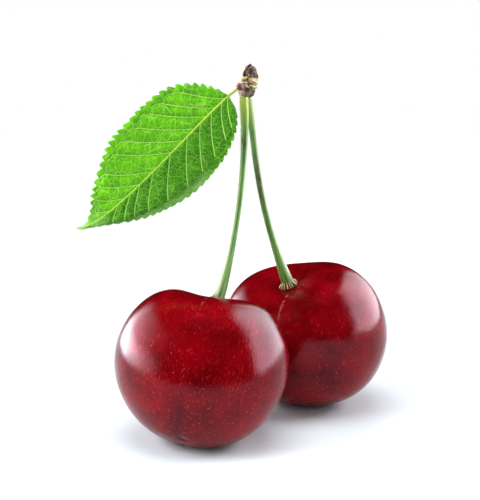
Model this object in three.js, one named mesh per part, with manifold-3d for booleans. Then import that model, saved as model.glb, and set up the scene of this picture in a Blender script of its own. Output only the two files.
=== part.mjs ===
// A pair of sweet cherries on long stalks that grow from one short woody spur, with one small leaf.
// The pair stands on a small flat spot under each fruit.
// Millimetres, +Z up, +X to the right, +Y to the back.
import * as THREE from "three";
import { mergeVertices } from "three/addons/utils/BufferGeometryUtils.js";
import Module from "manifold-3d";

const wasm = await Module();
wasm.setup();

// Driving dimensions.

const GAP = 0.35; // clearance between pieces that touch on the real plant

// Each fruit is drawn about its own stalk axis, +Z, with its cheeks on X and its suture towards -Y.
const CHERRY_FRONT = {
  centre: [-6.15, 0, 12.92],
  tipRight: 13, // degrees that the stalk end leans to the right
  tipBack: 21, // degrees that the stalk end leans to the back
  turn: -18, // degrees that the suture is turned about the stalk axis
  halfWidth: 14.05,
  halfDepth: 11.8,
  halfHeight: 12.1,
  shoulderPower: 0.76, // below 1 gives square shoulders
  basePower: 0.9,
  topSpread: 0,
  baseDrop: 0.11,
  shoulderTilt: 0.2,
  saddle: 0.8,
  cavity: { depth: 2.2, x: -0.3, y: 1.4, spreadX: 5.3, spreadY: 8.2 },
};

const CHERRY_REAR = {
  centre: [10.8, 18.4, 12.08],
  tipRight: -11.5,
  tipBack: -13.4,
  turn: -20,
  halfWidth: 13.7,
  halfDepth: 11.6,
  halfHeight: 11.5,
  shoulderPower: 0.66,
  basePower: 0.87,
  topSpread: 0.02,
  baseDrop: 0.07,
  shoulderTilt: 0.35,
  saddle: 0.4,
  cavity: { depth: 2.1, x: -0.8, y: -0.6, spreadX: 5.05, spreadY: 8.0 },
};

// A stalk runs from the floor of its fruit's stem cavity, past two bends, to the spur.
const STALK_RADIUS = 0.53;
const STALK_FOOT_RADIUS = 1.25;
const STALK_FOOT_GAP = 0.5; // wider than GAP, because the foot lies aslant on the cavity floor
const STALK_HEAD_RADIUS = 0.56;
const STALK_FRONT = {
  bends: [
    [-1.2, 6.5, 27.04],
    [1.35, 8.5, 43.59],
  ],
  head: [0.32, 9.4, 53.1],
};
const STALK_REAR = {
  bends: [
    [2.45, 13.6, 36.34],
    [2.75, 11.6, 42.52],
  ],
  head: [1.32, 10.4, 53.1],
};

// The spur and the collar of bud scales share one leaning axis.
const SPUR_FOOT = [1.15, 9.95, 53.5];
const SPUR_LEAN = 5; // degrees to the right
const SCALES_HEIGHT = 0.85;
const SCALES_RADIUS = 1.15;
const SPUR_HEIGHT = 4.0;
const SPUR_RADIUS = 1.4;
const SPUR_RINGS = 3; // swollen rings between old leaf scars

const SIDE_BUD = { centre: [-0.02, 8.4, 55.65], radius: 0.43, length: 1.25, lean: -30 };
const STIPULE = {
  points: [
    [-0.75, 8.2, 54.35],
    [-0.35, 8.45, 54.0],
    [-0.2, 8.6, 53.4],
  ],
  radius: 0.2,
};

const LEAF = {
  petioleStart: [-0.98, 8.5, 54.95],
  base: [-1.73, 8.5, 54.37],
  bends: [
    [-7.12, 6.5, 50.16],
    [-21.79, 5.0, 32.71],
  ],
  tip: [-25.72, 4.0, 33.99],
  facing: [0, -0.96, 0.28], // direction that the upper face looks
  upperHalf: { width: 8.4, widestPower: 0.74, fullness: 0.7 },
  lowerHalf: { width: 6.9, widestPower: 0.72, fullness: 0.8 },
  fold: 10, // degrees that each half rises from the midrib
  thickness: 0.4,
  petioleRadius: 0.25,
  teeth: 24,
  toothDepth: 0.5,
};

// How finely each surface is divided.
const FRUIT_SEGMENTS = { round: 40, high: 26 };
const STALK_SEGMENTS = { round: 10, long: 26 };
const SPUR_SEGMENTS = 18;
const LEAF_SEGMENTS = { petiole: 4, blade: 96, across: 6 };

const skin = new THREE.MeshStandardMaterial({ color: 0x7c0612, roughness: 0.22 });
const stalkGreen = new THREE.MeshStandardMaterial({ color: 0x7d9440, roughness: 0.55 });
const bark = new THREE.MeshStandardMaterial({ color: 0x5a4630, roughness: 0.85 });
const budScale = new THREE.MeshStandardMaterial({ color: 0x7a6a38, roughness: 0.7 });
const dryScale = new THREE.MeshStandardMaterial({ color: 0xb9a987, roughness: 0.7 });
const leafGreen = new THREE.MeshStandardMaterial({ color: 0x58a028, roughness: 0.45 });

const vector = (numbers) => new THREE.Vector3(...numbers);
const radians = THREE.MathUtils.degToRad;

// Moves every corner of a geometry to where place(corner) says, and closes its seams.
function reshape(geometry, place) {
  const position = geometry.getAttribute("position");
  const corner = new THREE.Vector3();
  for (let i = 0; i < position.count; i++) {
    corner.fromBufferAttribute(position, i);
    position.setXYZ(i, ...place(corner));
  }
  geometry.deleteAttribute("normal");
  geometry.deleteAttribute("uv");
  return mergeVertices(geometry, 1e-3);
}

function solid(geometry) {
  return new wasm.Manifold(
    new wasm.Mesh({
      numProp: 3,
      vertProperties: geometry.getAttribute("position").array,
      triVerts: new Uint32Array(geometry.index.array),
    }),
  );
}

function geometryOf(manifold) {
  const mesh = manifold.getMesh();
  return new THREE.BufferGeometry()
    .setAttribute("position", new THREE.BufferAttribute(mesh.vertProperties, 3))
    .setIndex(new THREE.BufferAttribute(mesh.triVerts, 1));
}

function namedMesh(name, geometry, material) {
  geometry.computeVertexNormals();
  const mesh = new THREE.Mesh(geometry, material);
  mesh.name = name;
  return mesh;
}

// How far the stem cavity sinks the skin at (x, y): a bell-shaped dip.
function cavityDip({ depth, x: centreX, y: centreY, spreadX, spreadY }, x, y) {
  return depth * Math.exp(-(((x - centreX) / spreadX) ** 2) - ((y - centreY) / spreadY) ** 2);
}

// The skin point in a direction of the unit sphere. Powers of the sphere's radius square the shoulders and
// the base, the saddle lowers the rim on the suture's side and behind, and the cavity sinks round the stalk.
function skinPoint(fruit, { x: sideX, y: sideY, z: up }) {
  const outward = Math.min(Math.hypot(sideX, sideY), 1);
  const angle = Math.atan2(sideY, sideX);
  const topShare = 0.5 * (1 + Math.tanh(3 * up));
  const power = fruit.shoulderPower * topShare + fruit.basePower * (1 - topShare);
  const reach = outward ** power * (1 + fruit.topSpread * up);
  const x = fruit.halfWidth * reach * Math.cos(angle);
  const y = fruit.halfDepth * reach * Math.sin(angle);
  const drop = 1 + fruit.baseDrop * Math.max(-up, 0);
  const tilt = fruit.shoulderTilt * (x / fruit.halfWidth) * up;
  const saddle = fruit.saddle * (reach * Math.sin(angle)) ** 2 * Math.max(up + 0.1, 0);
  const cavityShare = THREE.MathUtils.clamp((up + 0.2) / 0.6, 0, 1);
  const z = fruit.halfHeight * up * drop + tilt - saddle;
  return [x, y, z - cavityDip(fruit.cavity, x, y) * cavityShare];
}

function fruitPlacement(fruit) {
  const turned = new THREE.Euler(
    -radians(fruit.tipBack),
    radians(fruit.tipRight),
    radians(fruit.turn),
  );
  return new THREE.Matrix4().makeRotationFromEuler(turned).setPosition(vector(fruit.centre));
}

// A fruit is a reshaped sphere, placed, and cut flat where the floor presses it.
function cherry(name, fruit) {
  const { round, high } = FRUIT_SEGMENTS;
  const sphere = new THREE.SphereGeometry(1, round, high).rotateX(Math.PI / 2);
  const body = reshape(sphere, (corner) => skinPoint(fruit, corner));
  body.applyMatrix4(fruitPlacement(fruit));
  const cutterSize = 4 * fruit.halfWidth;
  const floor = new THREE.BoxGeometry(cutterSize, cutterSize, cutterSize);
  const [x, y] = fruit.centre;
  const belowFloor = reshape(floor, (corner) => [
    corner.x + x,
    corner.y + y,
    corner.z - cutterSize / 2,
  ]);
  return namedMesh(name, geometryOf(solid(body).subtract(solid(belowFloor))), skin);
}

// The lowest point of a fruit's stem cavity, on its skin.
function cavityFloor(fruit) {
  const { depth, x, y } = fruit.cavity;
  const skinHeight = fruit.halfHeight - depth;
  return new THREE.Vector3(x, y, skinHeight).applyMatrix4(fruitPlacement(fruit));
}

// A closed rod of changing radius along a curve: a straight lathe, bent. profile lists [share of length, radius].
function rodAlong(curve, profile, across) {
  const outline = [
    new THREE.Vector2(0, 0),
    ...profile.map(([along, radius]) => new THREE.Vector2(radius, along)),
    new THREE.Vector2(0, 1),
  ];
  const straight = new THREE.LatheGeometry(outline, STALK_SEGMENTS.round);
  return reshape(straight, ({ x: sideways, y: along, z: depth }) => {
    const share = THREE.MathUtils.clamp(along, 0, 1);
    const tangent = curve.getTangentAt(share);
    const first = new THREE.Vector3().crossVectors(across, tangent).normalize();
    const second = new THREE.Vector3().crossVectors(first, tangent);
    return curve.getPointAt(share).addScaledVector(first, sideways).addScaledVector(second, depth);
  });
}

// A stalk flares into a foot on the fruit, is slender for most of its length and thickens a little at its head.
function stalk(name, fruit, route) {
  const seat = cavityFloor(fruit);
  const bends = route.bends.map(vector);
  const upwards = bends[0].clone().sub(seat).normalize();
  const foot = seat.addScaledVector(upwards, STALK_FOOT_GAP);
  const curve = new THREE.CubicBezierCurve3(foot, ...bends, vector(route.head));
  const flareShare = 0.04;
  const profile = [];
  for (let step = 0; step <= STALK_SEGMENTS.long; step++) {
    const share = (step / STALK_SEGMENTS.long) ** 1.5;
    const flare = (STALK_FOOT_RADIUS - STALK_RADIUS) * Math.exp(-((share / flareShare) ** 2));
    const swell = (STALK_HEAD_RADIUS - STALK_RADIUS) * share ** 6;
    profile.push([share, STALK_RADIUS + flare + swell]);
  }
  return namedMesh(name, rodAlong(curve, profile, new THREE.Vector3(0, 1, 0)), stalkGreen);
}

// A squat turned piece on the spur's leaning axis. radiusAt gives its radius at a share of its height.
function onSpurAxis(name, startHeight, height, steps, radiusAt, material) {
  const outline = [new THREE.Vector2(0, 0)];
  for (let step = 0; step <= steps; step++)
    outline.push(new THREE.Vector2(radiusAt(step / steps), (height * step) / steps));
  outline.push(new THREE.Vector2(0, height));
  const lathe = new THREE.LatheGeometry(outline, SPUR_SEGMENTS);
  const upright = reshape(lathe, ({ x, y, z }) => [x, -z, y + startHeight]);
  const mesh = namedMesh(name, upright, material);
  mesh.position.set(...SPUR_FOOT);
  mesh.rotation.y = radians(SPUR_LEAN);
  return mesh;
}

function budScales() {
  const bulge = (share) => SCALES_RADIUS * (0.88 + 0.12 * Math.sin(Math.PI * share));
  return onSpurAxis("bud_scales", 0, SCALES_HEIGHT, 4, bulge, budScale);
}

// The spur's rings are cosine waves, and its broken top narrows.
function spur() {
  const ringed = (share) => {
    const ring = 0.09 * Math.cos(2 * Math.PI * SPUR_RINGS * (share - 0.2));
    const narrowing = 0.5 * Math.max(share - 0.7, 0) / 0.3;
    return SPUR_RADIUS * (0.9 + ring - narrowing);
  };
  return onSpurAxis("spur", SCALES_HEIGHT + GAP, SPUR_HEIGHT, 18, ringed, bark);
}

function sideBud() {
  const { centre, radius, length, lean } = SIDE_BUD;
  const oval = new THREE.SphereGeometry(1, 12, 8).rotateX(Math.PI / 2);
  const pointed = reshape(oval, ({ x, y, z }) => {
    const narrowing = 1 - 0.3 * z;
    return [x * radius * narrowing, y * radius * narrowing, (z * length) / 2];
  });
  const mesh = namedMesh("side_bud", pointed, bark);
  mesh.position.set(...centre);
  mesh.rotation.y = radians(lean);
  return mesh;
}

// A dry scale that hangs beside the side bud.
function stipule() {
  const curve = new THREE.CatmullRomCurve3(STIPULE.points.map(vector));
  const profile = [0, 0.25, 0.5, 0.75, 1].map((share) => [
    share,
    STIPULE.radius * (0.4 + 0.6 * Math.sin(Math.PI * share)),
  ]);
  return namedMesh("stipule", rodAlong(curve, profile, new THREE.Vector3(0, 1, 0)), dryScale);
}

// How far one half of the blade reaches from the midrib: a skewed sine arch with a row of teeth on it.
function bladeHalfWidth({ width, widestPower, fullness }, share) {
  const arch = Math.sin(Math.PI * share ** widestPower) ** fullness;
  const tooth = Math.abs(Math.sin(Math.PI * LEAF.teeth * share));
  const toothFade = Math.sin(Math.PI * share) ** 0.5;
  return width * arch + LEAF.toothDepth * tooth * toothFade;
}

// The leaf is a thin slab of a petiole and a blade, bent along the midrib and folded up a little on both sides.
function leaf() {
  const { petiole, blade, across } = LEAF_SEGMENTS;
  const base = vector(LEAF.base);
  const stem = new THREE.LineCurve3(vector(LEAF.petioleStart), base);
  const midrib = new THREE.CubicBezierCurve3(base, ...LEAF.bends.map(vector), vector(LEAF.tip));
  const facing = vector(LEAF.facing);
  const fold = radians(LEAF.fold);
  const slab = new THREE.BoxGeometry(1, 1, 1, petiole + blade, across, 1);
  const shaped = reshape(slab, ({ x, y, z }) => {
    const step = (x + 0.5) * (petiole + blade) - petiole;
    const side = -2 * y; // 1 on the upper edge, -1 on the lower
    const share = THREE.MathUtils.clamp(step / blade, 0, 1);
    const onPetiole = step < -0.5;
    const curve = onPetiole ? stem : midrib;
    const place = onPetiole ? 1 + step / petiole : share;
    const tangent = curve.getTangentAt(place);
    const sideways = new THREE.Vector3().crossVectors(tangent, facing).normalize();
    const upwards = new THREE.Vector3().crossVectors(sideways, tangent);
    const half = side > 0 ? LEAF.upperHalf : LEAF.lowerHalf;
    const reach = side * (LEAF.petioleRadius + bladeHalfWidth(half, share));
    const thinned = Math.max(1 - 8 * share, 0);
    const thickness = LEAF.thickness + (2 * LEAF.petioleRadius - LEAF.thickness) * thinned;
    return curve
      .getPointAt(place)
      .addScaledVector(sideways, reach * Math.cos(fold))
      .addScaledVector(upwards, Math.abs(reach) * Math.sin(fold) + thickness * z);
  });
  return namedMesh("leaf", shaped, leafGreen);
}

const pair = new THREE.Group();
pair.add(
  cherry("cherry_front", CHERRY_FRONT),
  cherry("cherry_rear", CHERRY_REAR),
  stalk("stalk_front", CHERRY_FRONT, STALK_FRONT),
  stalk("stalk_rear", CHERRY_REAR, STALK_REAR),
  budScales(),
  spur(),
  sideBud(),
  stipule(),
  leaf(),
);

// The origin is on the floor, under the middle of the pair's bounding box.
const bounds = new THREE.Box3().setFromObject(pair, true);
const middle = bounds.getCenter(new THREE.Vector3());
pair.position.set(-middle.x, -middle.y, -bounds.min.z);

const part = new THREE.Group();
part.add(pair);

export default part;
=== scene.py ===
"""A pair of sweet cherries on long stalks that grow from one short woody spur, with one small serrated leaf.

Sizes are in millimetres and angles in degrees. The meshes are written in metres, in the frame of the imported
model.
"""
import itertools

import bmesh
import bpy
import numpy as np
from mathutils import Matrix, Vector


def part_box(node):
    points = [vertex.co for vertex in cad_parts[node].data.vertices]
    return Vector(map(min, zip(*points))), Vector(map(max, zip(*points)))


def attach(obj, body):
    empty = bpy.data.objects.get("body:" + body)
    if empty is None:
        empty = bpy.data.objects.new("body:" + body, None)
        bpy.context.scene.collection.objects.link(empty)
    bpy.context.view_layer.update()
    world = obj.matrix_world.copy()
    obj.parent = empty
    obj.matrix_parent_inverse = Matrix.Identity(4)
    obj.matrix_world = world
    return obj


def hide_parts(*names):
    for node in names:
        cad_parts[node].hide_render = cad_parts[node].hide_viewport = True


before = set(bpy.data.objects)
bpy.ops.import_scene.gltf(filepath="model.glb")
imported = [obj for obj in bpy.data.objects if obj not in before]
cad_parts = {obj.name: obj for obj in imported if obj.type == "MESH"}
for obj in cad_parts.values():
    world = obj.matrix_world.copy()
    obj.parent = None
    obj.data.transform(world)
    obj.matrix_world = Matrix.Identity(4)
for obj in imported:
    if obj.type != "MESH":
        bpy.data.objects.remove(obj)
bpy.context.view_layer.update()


# ---- The two cherries ----
# Each is one ripe drupe: thin glossy dark red skin drawn tight over soft flesh, broad-shouldered, with a
# stem cavity on top, a faint suture down the side and a small dry style scar at the foot. It stands on a
# small flat spot that its own weight has pressed.

CHERRY_FRONT = dict(
    centre=(-6.15, 0.0, 12.92), tip_right=13, tip_back=21, turn=-18,
    half_width=14.05, half_depth=11.8, half_height=12.1, shoulder_power=0.76, base_power=0.9,
    top_spread=0.0, base_drop=0.11, shoulder_tilt=0.2, saddle=0.8,
    cavity_depth=2.2, cavity_x=-0.3, cavity_y=1.4, cavity_spread_x=5.3, cavity_spread_y=8.2,
    suture_at=-85, suture_bend=4, scar_x=1.35, scar_y=-4.3, freckled_towards=(0.45, -0.75, -0.5), seed=3,
)
CHERRY_REAR = dict(
    centre=(10.8, 18.4, 12.08), tip_right=-11.5, tip_back=-13.4, turn=-20,
    half_width=13.7, half_depth=11.6, half_height=11.5, shoulder_power=0.66, base_power=0.87,
    top_spread=0.02, base_drop=0.07, shoulder_tilt=0.35, saddle=0.4,
    cavity_depth=2.1, cavity_x=-0.8, cavity_y=-0.6, cavity_spread_x=5.05, cavity_spread_y=8.0,
    suture_at=-91, suture_bend=3, scar_x=0.4, scar_y=-1.2, freckled_towards=(0.8, -0.5, -0.3), seed=8,
)
SKIN_ROWS, SKIN_COLUMNS = 200, 240
SKIN_LUMPS = ((0.11, 7.0), (0.03, 2.4))  # height and size
SUTURE_RADIUS = 12
SUTURE_LINE_WIDTH, SUTURE_LINE_DEPTH = 0.07, 0.03
SUTURE_BAND_WIDTH, SUTURE_BAND_DEPTH = 0.45, 0.12
SCAR_DIMPLE, SCAR_KNOB = (0.32, 0.6), (0.16, 0.2)  # depth or height, and radius
FRECKLED_COSINES = (0.72, 0.92)
GRAIN_ROUND, GRAIN_DOWN = 11, 3.7


def turned_about(axis, degrees):
    """The 3 by 3 matrix that turns a point about one axis (0 is X, 1 is Y, 2 is Z) by the right-hand
    rule."""
    angle = np.radians(degrees)
    first, second = [(1, 2), (2, 0), (0, 1)][axis]
    matrix = np.eye(3)
    matrix[first, first] = matrix[second, second] = np.cos(angle)
    matrix[second, first] = np.sin(angle)
    matrix[first, second] = -np.sin(angle)
    return matrix


def smooth_step(value, low, high):
    """0 below low, 1 above high, and 3x^2 - 2x^3 between."""
    share = np.clip((value - low) / (high - low), 0, 1)
    return share * share * (3 - 2 * share)


def lumps(points, size, seed):
    """Smooth noise from -1 to 1: random values at the corners of a lattice of cubes of that size, blended
    across each cube by a smooth step on each axis."""
    values = np.random.default_rng(seed).uniform(-1, 1, 4096)
    scaled = np.asarray(points) / size
    cell = np.floor(scaled).astype(np.int64)
    inside = smooth_step(scaled - cell, 0, 1)
    total = 0
    for corner in itertools.product((0, 1), repeat=3):
        key = (cell + corner) * (73856093, 19349663, 83492791)
        weight = np.prod(np.where(corner, inside, 1 - inside), axis=-1)
        total = total + values[(key[..., 0] ^ key[..., 1] ^ key[..., 2]) % 4096] * weight
    return total


def skin_surface(fruit, polar, around):
    """A cherry's skin about its own stalk axis Z, with cheeks on X and suture towards -Y. A sphere's radius
    is raised to a power, below 1 for square shoulders; the base drops by a share of its depth; the shoulders
    tilt in proportion to X; a saddle lowers the rim by the square of the reach along Y; and the cavity is a
    bell-shaped dip."""
    up, out = np.cos(polar), np.clip(np.sin(polar), 0, 1)
    top_share = 0.5 * (1 + np.tanh(3 * up))
    power = fruit["shoulder_power"] * top_share + fruit["base_power"] * (1 - top_share)
    reach = out**power * (1 + fruit["top_spread"] * up)
    x = fruit["half_width"] * reach * np.cos(around)
    y = fruit["half_depth"] * reach * np.sin(around)
    z = fruit["half_height"] * up * (1 + fruit["base_drop"] * np.clip(-up, 0, None))
    z = z + fruit["shoulder_tilt"] * (x / fruit["half_width"]) * up
    z = z - fruit["saddle"] * (reach * np.sin(around)) ** 2 * np.clip(up + 0.1, 0, None)
    bell_x = (x - fruit["cavity_x"]) / fruit["cavity_spread_x"]
    bell_y = (y - fruit["cavity_y"]) / fruit["cavity_spread_y"]
    z = z - fruit["cavity_depth"] * np.exp(-(bell_x**2) - bell_y**2) * np.clip((up + 0.2) / 0.6, 0, 1)
    return np.stack([x, y, z], axis=-1)


def placed(fruit, points):
    """Points of a fruit's own frame, turned and moved to where it stands."""
    turn = turned_about(0, -fruit["tip_back"]) @ turned_about(1, fruit["tip_right"])
    turn = turn @ turned_about(2, fruit["turn"])
    return points @ turn.T + fruit["centre"]


def grid_quads(rows, columns):
    """The four-cornered faces of a grid of rows times columns points."""
    corner = np.arange(rows * columns).reshape(rows, columns)
    faces = [corner[:-1, :-1], corner[:-1, 1:], corner[1:, 1:], corner[1:, :-1]]
    return np.stack(faces, axis=-1).reshape(-1, 4)


def make_piece(name, points, quads, material, **fields):
    """A smooth mesh piece from points in millimetres. Seams and poles are merged and faces turned out. Each
    field is a value or a vector at every point, kept as an attribute that the material reads."""
    mesh = bpy.data.meshes.new(name)
    mesh.from_pydata((points + frame_shift) * 0.001, [], quads)
    for label, values in fields.items():
        kind, key = ("FLOAT_VECTOR", "vector") if values.ndim == 2 else ("FLOAT", "value")
        mesh.attributes.new(label, kind, "POINT").data.foreach_set(key, values.astype(np.float32).ravel())
    shell = bmesh.new()
    shell.from_mesh(mesh)
    bmesh.ops.remove_doubles(shell, verts=shell.verts, dist=2e-7)
    bmesh.ops.recalc_face_normals(shell, faces=shell.faces)
    shell.to_mesh(mesh)
    shell.free()
    mesh.shade_smooth()
    mesh.materials.append(material)
    piece = bpy.data.objects.new(name, mesh)
    bpy.context.scene.collection.objects.link(piece)
    return piece


def cherry_points(fruit):
    """The finished skin on a grid of polar angle by angle around, with its fields. Rows crowd towards both
    poles. Slow lumps swell it, the suture is a fine groove above and a shallow furrow below, the style scar
    is a dimple with a small boss, and the floor presses the foot flat. The grain runs down the meridians,
    and the freckles lie where the skin faces one way."""
    row = np.linspace(0, 1, SKIN_ROWS)
    polar = np.pi * (row - 0.6 * np.sin(2 * np.pi * row) / (2 * np.pi))[:, None]
    around = np.linspace(-np.pi, np.pi, SKIN_COLUMNS + 1)[None, :]
    polar, around = np.broadcast_arrays(polar, around)
    skin = skin_surface(fruit, polar, around).reshape(-1, 3)
    polar, around = polar.ravel(), around.ravel()
    outward = skin / np.linalg.norm(skin, axis=1, keepdims=True)

    suture = np.radians(fruit["suture_at"] + fruit["suture_bend"] * smooth_step(polar, 1.0, 2.0))
    aside = (np.mod(around - suture + np.pi, 2 * np.pi) - np.pi) * SUTURE_RADIUS * np.sin(polar)
    line = np.exp(-((aside / SUTURE_LINE_WIDTH) ** 2))
    line = line * smooth_step(polar, 0.12, 0.2) * (1 - smooth_step(polar, 0.8, 1.0))
    band = np.exp(-((aside / SUTURE_BAND_WIDTH) ** 2)) * smooth_step(polar, 1.75, 2.3)

    foot = skin[polar > np.pi / 2]
    scar_gap = np.hypot(foot[:, 0] - fruit["scar_x"], foot[:, 1] - fruit["scar_y"])
    scar_place = foot[scar_gap.argmin()]
    from_scar = np.linalg.norm(skin - scar_place, axis=1)

    height = sum(tall * lumps(skin, size, fruit["seed"] + k) for k, (tall, size) in enumerate(SKIN_LUMPS))
    height = height - SUTURE_LINE_DEPTH * line - SUTURE_BAND_DEPTH * band
    height = height - SCAR_DIMPLE[0] * np.exp(-((from_scar / SCAR_DIMPLE[1]) ** 2))
    height = height + SCAR_KNOB[0] * np.exp(-((from_scar / SCAR_KNOB[1]) ** 2))
    points = placed(fruit, skin + outward * height[:, None])
    points[:, 2] = np.maximum(points[:, 2], 0)

    towards = np.array(fruit["freckled_towards"]) / np.linalg.norm(fruit["freckled_towards"])
    freckled = smooth_step(outward @ towards + 0.08 * lumps(skin, 3.0, 5), *FRECKLED_COSINES)
    ring = (GRAIN_ROUND * np.cos(around), GRAIN_ROUND * np.sin(around))
    grain = np.stack([*ring, GRAIN_DOWN * polar], axis=-1)
    fields = dict(
        grain=grain, suture_line=line, suture_band=band, scar=np.exp(-((from_scar / 0.42) ** 2)),
        scar_boss=np.exp(-((from_scar / 0.17) ** 2)), lowness=smooth_step(polar, 1.1, 2.3),
        freckled=freckled,
    )
    return points, fields


def add_node(tree, kind, sockets=(), **settings):
    """One shader node. sockets gives each named or numbered input a value, or the output that feeds it."""
    node = tree.nodes.new(kind)
    for setting, value in settings.items():
        setattr(node, setting, value)
    for socket, value in dict(sockets).items():
        if isinstance(value, bpy.types.NodeSocket):
            tree.links.new(value, node.inputs[socket])
        else:
            node.inputs[socket].default_value = value
    return node


def worked_out(tree, operation, first, second):
    """Arithmetic on two values of a shader, such as DIVIDE or SUBTRACT."""
    return add_node(tree, "ShaderNodeMath", {0: first, 1: second}, operation=operation).outputs[0]


def plus(tree, first, second):
    """The sum of two values."""
    return worked_out(tree, "ADD", first, second)


def times(tree, first, second):
    """The product of two values."""
    return worked_out(tree, "MULTIPLY", first, second)


def larger(tree, first, second):
    """The larger of two values."""
    return worked_out(tree, "MAXIMUM", first, second)


def blend(tree, share, first, second):
    """The first colour, giving way to the second as share goes from 0 to 1."""
    sockets = {"Factor": share, 6: first, 7: second}
    return add_node(tree, "ShaderNodeMix", sockets, data_type="RGBA").outputs[2]


def step_mask(tree, value, low, high):
    """A smooth step from 0 at low to 1 at high, or the other way where low is above high."""
    sockets = {"Value": value, 1: min(low, high), 2: max(low, high)}
    sockets |= {3: float(low > high), 4: float(low < high)}
    return add_node(tree, "ShaderNodeMapRange", sockets, interpolation_type="SMOOTHSTEP").outputs[0]


def field(tree, name, output="Fac"):
    """A piece's own attribute."""
    return add_node(tree, "ShaderNodeAttribute", attribute_name=name).outputs[output]


def millimetres(tree):
    """The point on the piece, in millimetres."""
    place = add_node(tree, "ShaderNodeTexCoord").outputs["Object"]
    return add_node(tree, "ShaderNodeVectorMath", {0: place, 3: 1000.0}, operation="SCALE").outputs[0]


def new_group(name, inputs, outputs):
    """An empty shader node group with its named sockets, as (tree, its inputs' values, its output node)."""
    tree = bpy.data.node_groups.new(name, "ShaderNodeTree")
    for socket, kind in inputs.items():
        tree.interface.new_socket(socket, in_out="INPUT", socket_type="NodeSocket" + kind)
    for socket, kind in outputs.items():
        tree.interface.new_socket(socket, in_out="OUTPUT", socket_type="NodeSocket" + kind)
    return tree, tree.nodes.new("NodeGroupInput").outputs, tree.nodes.new("NodeGroupOutput")


def use_group(tree, group, sockets):
    """The outputs of a node group placed in a material, with its own values."""
    return add_node(tree, "ShaderNodeGroup", sockets, node_tree=group).outputs


def fleck_group():
    """Small soft-edged spots: the middle of some cells of a Voronoi pattern. Tone tells the spots apart."""
    tree, given, result = new_group(
        "Flecks",
        {"Vector": "Vector", "Spacing": "Float", "Radius": "Float", "Kept": "Float"},
        {"Mask": "Float", "Tone": "Float"},
    )
    scale = worked_out(tree, "DIVIDE", 1.0, given["Spacing"])
    cells = add_node(tree, "ShaderNodeTexVoronoi", {"Vector": given["Vector"], "Scale": scale})
    reach = times(tree, cells.outputs["Distance"], given["Spacing"])
    inside = worked_out(tree, "SUBTRACT", 1.0, worked_out(tree, "DIVIDE", reach, given["Radius"]))
    soft = step_mask(tree, inside, 0.0, 0.6)
    tones = add_node(tree, "ShaderNodeSeparateColor", {0: cells.outputs["Color"]})
    kept = worked_out(tree, "LESS_THAN", tones.outputs[0], given["Kept"])
    tree.links.new(times(tree, soft, kept), result.inputs["Mask"])
    tree.links.new(tones.outputs[1], result.inputs["Tone"])
    return tree


def mottle_group():
    """Cloudy patches: fractal noise of a given size, cut to a mask between two levels."""
    tree, given, result = new_group(
        "Mottle",
        {"Vector": "Vector", "Size": "Float", "Low": "Float", "High": "Float"},
        {"Mask": "Float", "Cloud": "Float"},
    )
    scale = worked_out(tree, "DIVIDE", 1.0, given["Size"])
    cloud = add_node(tree, "ShaderNodeTexNoise", {"Vector": given["Vector"], "Scale": scale, "Detail": 3.0})
    sockets = {"Value": cloud.outputs[0], 1: given["Low"], 2: given["High"]}
    mask = add_node(tree, "ShaderNodeMapRange", sockets, interpolation_type="SMOOTHSTEP")
    tree.links.new(mask.outputs[0], result.inputs["Mask"])
    tree.links.new(cloud.outputs[0], result.inputs["Cloud"])
    return tree


def spots(tree, vector, spacing, radius, kept):
    """Flecks placed in a material: how far apart, how large, and the share of them that is kept."""
    return use_group(tree, flecks, {"Vector": vector, "Spacing": spacing, "Radius": radius, "Kept": kept})


def clouds(tree, vector, size, low=0.3, high=0.7):
    """Mottle placed in a material: the size of its patches, and the levels between which they are cut."""
    return use_group(tree, mottle, {"Vector": vector, "Size": size, "Low": low, "High": high})


def roughen(tree, principled, height, depth, strength, invert=False):
    """Fine relief: a bump that the shader takes its normal from, its full depth in metres."""
    sockets = {"Height": height, "Distance": depth, "Strength": strength}
    bump = add_node(tree, "ShaderNodeBump", sockets, invert=invert)
    tree.links.new(bump.outputs[0], principled.inputs["Normal"])


def new_material(name):
    """A material with only its Principled node and its output, as (material, tree, principled)."""
    material = bpy.data.materials.new(name)
    material.use_nodes = True
    tree = material.node_tree
    return material, tree, tree.nodes["Principled BSDF"]


flecks, mottle = fleck_group(), mottle_group()

SKIN_DEEP = (0.094, 0.0003, 0.0014, 1)
SKIN_BRIGHT = (0.200, 0.0004, 0.0035, 1)
SKIN_FLECK = (0.520, 0.010, 0.008, 1)
SKIN_SPOT = (0.560, 0.030, 0.022, 1)
LENTICEL_PALE = (0.500, 0.300, 0.260, 1)
LENTICEL_DARK = (0.040, 0.002, 0.004, 1)
SUTURE_LINE = (0.450, 0.200, 0.190, 1)
SUTURE_SHADE = (0.070, 0.0004, 0.002, 1)
SCAR_DARK = (0.020, 0.006, 0.004, 1)
SCAR_BOSS = (0.520, 0.140, 0.020, 1)


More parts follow.
